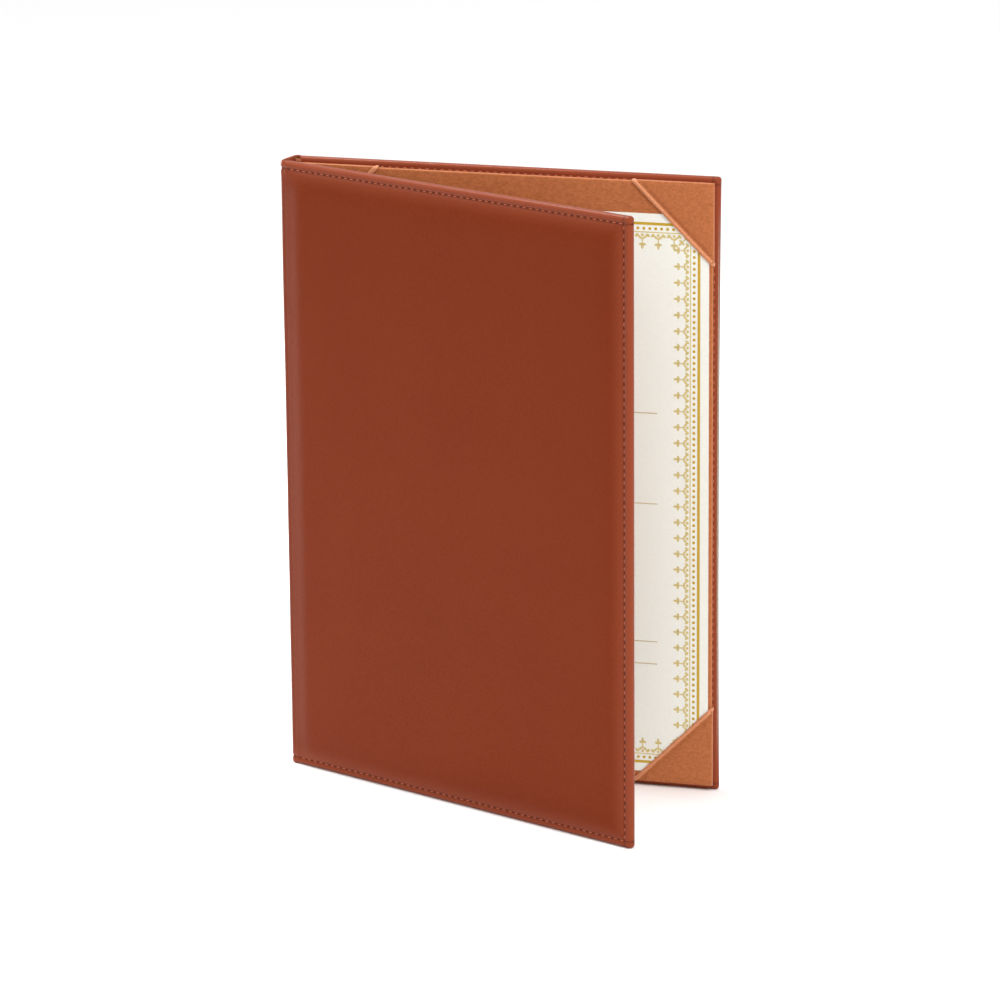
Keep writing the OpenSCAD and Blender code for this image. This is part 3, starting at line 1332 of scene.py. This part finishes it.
    def far_end(self, near: Matrix) -> Matrix:
        """Return the ring at the far end that matches one at the near end, X and Z swapped."""
        swap = Matrix(((0, 0, 1), (0, 1, 0), (1, 0, 0))).to_4x4()
        return swap @ near @ Matrix.Diagonal((1, -1, -1, 1))

    def settle(self, bm: Mesh) -> None:
        """Take the mesh from its corner to its place on the back cover, facing outwards."""
        fold = fold_of(Cover.BACK, self.sizes)
        for vert in bm.verts:
            vert.co = fold.place(self.corner.place(vert.co, self.sizes))
        if self.corner.mirrored:
            bmesh.ops.reverse_faces(bm, faces=bm.faces[:])


# ---- Certificate ----


@dataclass
class Certificate:
    """The held sheet, which bows a little between its corner pockets."""

    sizes: Sizes
    bow: float = 2.0 * MM
    step: float = 5.0 * MM

    def lift(self, across: float, up: float) -> float:
        """Height of the bowed sheet off the panel, from places measured on the sheet."""
        sizes = self.sizes
        wide = math.sin(math.pi * min(1.0, max(0.0, across / sizes.sheet_width)))
        tall = math.sin(math.pi * min(1.0, max(0.0, up / sizes.sheet_height)))
        inwards = min(across, sizes.sheet_width - across) + min(up, sizes.sheet_height - up)
        free = ease(inwards, 28.0 * MM, 80.0 * MM)
        return self.bow * wide**1.6 * (0.8 + 0.2 * tall) * free

    def place(self, across: float, up: float, proud: float) -> Vector:
        """Take a place on the sheet, and a height above its face, to the row frame."""
        sizes = self.sizes
        level = sizes.panel_face - sizes.sheet_thick - self.lift(across, up) - proud
        flat = Vector((sizes.sheet_start + across, level, sizes.sheet_foot + up))
        return fold_of(Cover.BACK, sizes).place(flat)

    def build(self, material: Material) -> Piece:
        """Make the sheet."""
        sizes = self.sizes
        bm = bmesh.new()
        columns = math.ceil(sizes.sheet_width / self.step)
        rows = math.ceil(sizes.sheet_height / self.step)
        bmesh.ops.create_grid(bm, x_segments=columns, y_segments=rows, size=0.5)
        for vert in bm.verts:
            across = (vert.co.x + 0.5) * sizes.sheet_width
            up = (vert.co.y + 0.5) * sizes.sheet_height
            vert.co = self.place(across, up, 0.0)
        piece = finish_piece("certificate_sheet", bm, material)
        thicken(piece, sizes.sheet_thick)
        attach(piece, "back")
        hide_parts("certificate")
        return piece


# Height, start and end of each ruled line on the sheet, in millimetres.
RULES = ((193, 60, 183), (145, 45, 183), (71, 118, 183), (59, 118, 183))


class Ink(Enum):
    """The three printings on the sheet."""

    SOLID = "gold_frame"
    PALE = "gold_tracery"
    RULES = "ruled_lines"


@dataclass
class GoldBorder:
    """Printed border of plain lines, dots and a row of small sprigs, and ruled lines."""

    certificate: Certificate
    frame_inset: float = 5.2 * MM
    frame_width: float = 1.4 * MM
    dot_inset: float = 7.7 * MM
    dot_pitch: float = 3.07 * MM
    dot_size: float = 1.6 * MM
    hair_inset: float = 9.6 * MM
    hair_width: float = 0.55 * MM
    sprig_inset: float = 10.4 * MM
    sprig_pitch: float = 8.4 * MM
    proud: float = 0.02 * MM
    film: float = 0.04 * MM
    rule_width: float = 0.45 * MM

    def corners(self, inset: float) -> list[Vector]:
        """Return a rectangle's corners, an inset in from the sheet's edges."""
        wide = self.certificate.sizes.sheet_width - inset
        tall = self.certificate.sizes.sheet_height - inset
        places = ((inset, inset), (wide, inset), (wide, tall), (inset, tall))
        return [Vector((across, up, 0)) for across, up in places]

    def sides(self, inset: float) -> list[tuple[Vector, Vector]]:
        """Return the start and end of each side of that rectangle, in turn."""
        corners = self.corners(inset)
        return list(zip(corners, corners[1:] + corners[:1]))

    def bar(self, bm: Mesh, start: Vector, end: Vector, width: float) -> None:
        """Print a straight bar, in short lengths that can follow the sheet."""
        run = end - start
        length = run.length + width
        count = math.ceil(length / (5 * MM))
        matrix = (
            Matrix.Translation((start + end) / 2)
            @ Matrix.Rotation(math.atan2(run.y, run.x), 4, "Z")
            @ Matrix.Diagonal((length, width, 1, 1))
        )
        bmesh.ops.create_grid(bm, x_segments=count, y_segments=1, size=0.5, matrix=matrix)

    def disc(
        self, bm: Mesh, middle: Vector, size: tuple[float, float],
        turn: float = 0.0, segments: int = 10,
    ) -> None:
        """Print an oval, its length along X before it is turned."""
        matrix = (
            Matrix.Translation(middle)
            @ Matrix.Rotation(turn, 4, "Z")
            @ Matrix.Diagonal((size[0] / 2, size[1] / 2, 1, 1))
        )
        bmesh.ops.create_circle(bm, cap_ends=True, radius=1.0, segments=segments, matrix=matrix)

    def row(self, start: Vector, end: Vector, pitch: float) -> list[tuple[Vector, float]]:
        """Return evenly spaced places along a side, with the side's direction."""
        run = end - start
        count = round(run.length / pitch)
        turn = math.atan2(run.y, run.x)
        return [(start + run * (i + 0.5) / count, turn) for i in range(count)]

    def sprig(self) -> bpy.types.Mesh:
        """Draw one sprig of the plain tracery, growing along Y: two leaves, a stem and a bud."""
        bm = bmesh.new()
        for side in (-1, 1):
            self.disc(bm, Vector((side * 2.9, 0.9, 0)) * MM, (2.4 * MM, 1.5 * MM), side * 0.8)
            self.disc(bm, Vector((side * 1.35, 1.8, 0)) * MM, (2.9 * MM, 1.15 * MM), side * -0.75)
            self.disc(bm, Vector((side * 1.0, 5.5, 0)) * MM, (1.9 * MM, 1.25 * MM), side * 0.35)
        self.disc(bm, Vector((0, 0.7, 0)) * MM, (1.7 * MM, 1.5 * MM))
        self.disc(bm, Vector((0, 3.2, 0)) * MM, (0.75 * MM, 3.6 * MM), 0.0, 6)
        self.disc(bm, Vector((0, 6.3, 0)) * MM, (1.35 * MM, 3.6 * MM))
        return keep_drawing("one_sprig", bm)

    def draw_frame(self, bm: Mesh) -> None:
        """Print the solid line and the row of dots inside it."""
        for start, end in self.sides(self.frame_inset):
            self.bar(bm, start, end, self.frame_width)
        for start, end in self.sides(self.dot_inset):
            for place, turn in self.row(start, end, self.dot_pitch):
                self.disc(bm, place, (self.dot_size, self.dot_size), turn)

    def draw_tracery(self, bm: Mesh) -> None:
        """Print the fine line and the sprigs that grow inwards from it."""
        for start, end in self.sides(self.hair_inset):
            self.bar(bm, start, end, self.hair_width)
        sprig = self.sprig()
        inside = self.sprig_inset + 3.6 * MM
        for (start, end), corner in zip(self.sides(inside), self.corners(self.sprig_inset)):
            run = (end - start).normalized()
            inwards = Vector((-run.y, run.x, 0))
            for place, turn in self.row(start, end, self.sprig_pitch):
                foot = Matrix.Translation(place - inwards * (inside - self.sprig_inset))
                stamp(bm, sprig, foot @ Matrix.Rotation(turn, 4, "Z"))
            turned = Matrix.Rotation(math.atan2(run.y, run.x) - math.pi / 4, 4, "Z")
            stamp(bm, sprig, Matrix.Translation(corner) @ turned @ Matrix.Scale(0.95, 4))

    def draw_rules(self, bm: Mesh) -> None:
        """Print the blank ruled lines of the text area."""
        for up, start, end in RULES:
            ends = (Vector((place, up, 0)) * MM for place in (start, end))
            self.bar(bm, *ends, self.rule_width)

    def build(self, ink: Ink, material: Material) -> Piece:
        """Make one printing.

        Args:
            ink: Which printing.
            material: Its ink.

        Returns:
            The piece, a thin film on the sheet.
        """
        draw: dict[Ink, Callable[[Mesh], None]] = {
            Ink.SOLID: self.draw_frame,
            Ink.PALE: self.draw_tracery,
            Ink.RULES: self.draw_rules,
        }
        bm = bmesh.new()
        draw[ink](bm)
        for vert in bm.verts:
            vert.co = self.certificate.place(vert.co.x, vert.co.y, self.proud)
        piece = finish_piece(ink.value, bm, material, smooth=False)
        thicken(piece, self.film, offset=1.0)
        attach(piece, "back")
        return piece


# ---- Studio ----


@dataclass(frozen=True)
class Studio:
    """Plain pale floor, soft lights and the camera."""

    sizes: Sizes
    turn: float = -16.3
    tilt: float = 15.65
    roll: float = 0.57
    distance: float = 2.544
    focal: float = 180.0
    aim_right: float = 0.268
    aim_down: float = 0.029

    def build(self) -> None:
        """Set the whole studio up."""
        self.floor()
        self.lights()
        self.camera()
        bpy.context.scene.view_settings.view_transform = "Standard"

    def floor(self) -> None:
        """Lay a wide pale floor."""
        bm = bmesh.new()
        bmesh.ops.create_grid(bm, x_segments=2, y_segments=2, size=20.0)
        pale = Graph("pale_floor").wear(
            Base_Color=(0.95, 0.95, 0.95, 1.0), Roughness=0.9, Specular_IOR_Level=0.1
        )
        finish_piece("studio_floor", bm, pale, smooth=False)

    def lamp(self, name: str, place: Triple, size: float, power: float) -> None:
        """Hang one soft square light that looks at the folder's middle."""
        data = bpy.data.lights.new(name, "AREA")
        data.size = size
        data.energy = power
        aim = Vector((0.0, 0.0, self.sizes.height / 2)) - Vector(place)
        self.hang(data, aim).location = place

    def hang(self, data: bpy.types.Light, aim: Vector) -> Piece:
        """Add a light that looks along a direction."""
        light = bpy.data.objects.new(data.name, data)
        light.rotation_euler = aim.to_track_quat("-Z", "Y").to_euler()
        bpy.context.scene.collection.objects.link(light)
        return light

    def lights(self) -> None:
        """Light the folder softly from above on the right, with fill from all round."""
        self.lamp("key_light", (0.90, -0.55, 0.95), 0.35, 7.0)
        self.lamp("front_light", (0.95, -1.70, 0.45), 0.30, 1.5)
        self.lamp("left_light", (-1.15, 0.55, 0.35), 0.35, 8.0)
        self.lamp("soft_light", (-1.30, -0.45, 0.90), 0.5, 2.6)
        self.lamp("top_light", (-0.45, 0.25, 1.35), 0.4, 12.0)
        sun = bpy.data.lights.new("soft_sun", "SUN")
        sun.energy = 0.7
        sun.angle = math.radians(50)
        self.hang(sun, Vector((-0.8, 0.9, -1.5)))
        world = bpy.data.worlds.new("studio_air")
        world.use_nodes = True
        air = world.node_tree.nodes["Background"].inputs
        air["Color"].default_value = (1.0, 1.0, 1.0, 1.0)
        air["Strength"].default_value = 0.82
        bpy.context.scene.world = world

    def camera(self) -> None:
        """Stand the camera before the folder, a little above it and to its right."""
        data = bpy.data.cameras.new("camera")
        data.lens = self.focal
        data.sensor_width = 36.0
        data.clip_start, data.clip_end = 0.05, 60.0
        camera = bpy.data.objects.new("camera", data)
        target = self.sizes.back_crease + Vector((110, -50, 0)) * MM + UP * self.sizes.height / 2
        tilt, turn = math.radians(self.tilt), math.radians(self.turn)
        unturn = Matrix.Rotation(-turn, 3, "Z")
        forward = unturn @ Vector((0, math.cos(tilt), -math.sin(tilt)))
        up = unturn @ Vector((0, math.sin(tilt), math.cos(tilt)))
        right = unturn @ Vector((1, 0, 0))
        axes = Matrix((right, up, -forward)).transposed()
        aim = (
            Matrix.Rotation(-math.radians(self.aim_right), 3, up)
            @ Matrix.Rotation(-math.radians(self.aim_down), 3, right)
        )
        rolled = Matrix.Rotation(math.radians(self.roll), 3, forward)
        camera.matrix_world = (
            Matrix.Translation(target - forward * self.distance) @ (aim @ rolled @ axes).to_4x4()
        )
        bpy.context.scene.collection.objects.link(camera)
        bpy.context.scene.camera = camera


# ---- The whole folder ----


@dataclass
class Folder:
    """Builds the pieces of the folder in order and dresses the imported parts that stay."""

    sizes: Sizes

    def build(self) -> None:
        """Make every piece."""
        stitches = StitchLine(self.sizes)
        relief = Relief(self.sizes, stitches)
        leather = LeatherFinish().make(stitches)
        lining = ClothFinish("tan_lining", (0.298, 0.084, 0.022), (0.492, 0.158, 0.050)).make()
        folds = ClothFinish(
            "tan_binding", (0.480, 0.175, 0.075), (0.640, 0.270, 0.130), roughness=0.6, nap=0.15
        ).make()
        thread = FibreFinish(
            "reddish_thread", (0.36, 0.078, 0.028), (0.56, 0.150, 0.070), 5200.0,
            detail=2.0, depth=0.04 * MM, strength=0.5, roughness=0.42, specular=0.25,
        ).make()
        foam = FibreFinish("pale_foam", (0.60, 0.57, 0.48), (0.75, 0.72, 0.62), 1800.0).make()
        sewing = Stitching(self.sizes, relief, stitches)
        for cover in Cover:
            LeatherSkin(cover, self.sizes, relief).build(leather)
            CoverPad(cover, self.sizes, relief).build(foam)
            sewing.build_cover(cover, thread)
            PanelLining(cover, self.sizes).build(lining)
            joint = JointLining(cover, self.sizes)
            joint.build_joint(lining)
            joint.build_edge(lining)
        sewing.build_spine(thread)
        SpineLining(self.sizes).build(lining)
        for corner in CORNERS:
            pocket = CornerPocket(corner, self.sizes)
            pocket.build_cloth(lining)
            pocket.build_binding(folds)
        self.print_certificate()
        self.dress_boards()

    def print_certificate(self) -> None:
        """Make the sheet and its printing."""
        certificate = Certificate(self.sizes)
        certificate.build(PaperFinish().make())
        border = GoldBorder(certificate)
        solid = InkFinish("solid_gold_ink", (0.470, 0.310, 0.016), (0.580, 0.400, 0.028))
        pale = InkFinish("pale_gold_ink", (0.570, 0.480, 0.170), (0.670, 0.580, 0.260))
        brown = InkFinish(
            "grey_gold_ink", (0.440, 0.370, 0.160), (0.520, 0.450, 0.220), metallic=0.0
        )
        border.build(Ink.SOLID, solid.make())
        border.build(Ink.PALE, pale.make())
        border.build(Ink.RULES, brown.make())

    def dress_boards(self) -> None:
        """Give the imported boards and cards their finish."""
        board = FibreFinish("greyboard", (0.26, 0.22, 0.165), (0.38, 0.33, 0.26), 900.0).make()
        for name, node in frame["nodes"].items():
            if name.endswith(("_board", "_card", "_stiffener")):
                node.data.materials.clear()
                node.data.materials.append(board)


def main() -> None:
    """Build the folder and its studio."""
    logging.basicConfig(level=logging.INFO, format="%(name)s: %(message)s")
    sizes = measure()
    Folder(sizes).build()
    Studio(sizes).build()


if __name__ == "__main__":
    main()
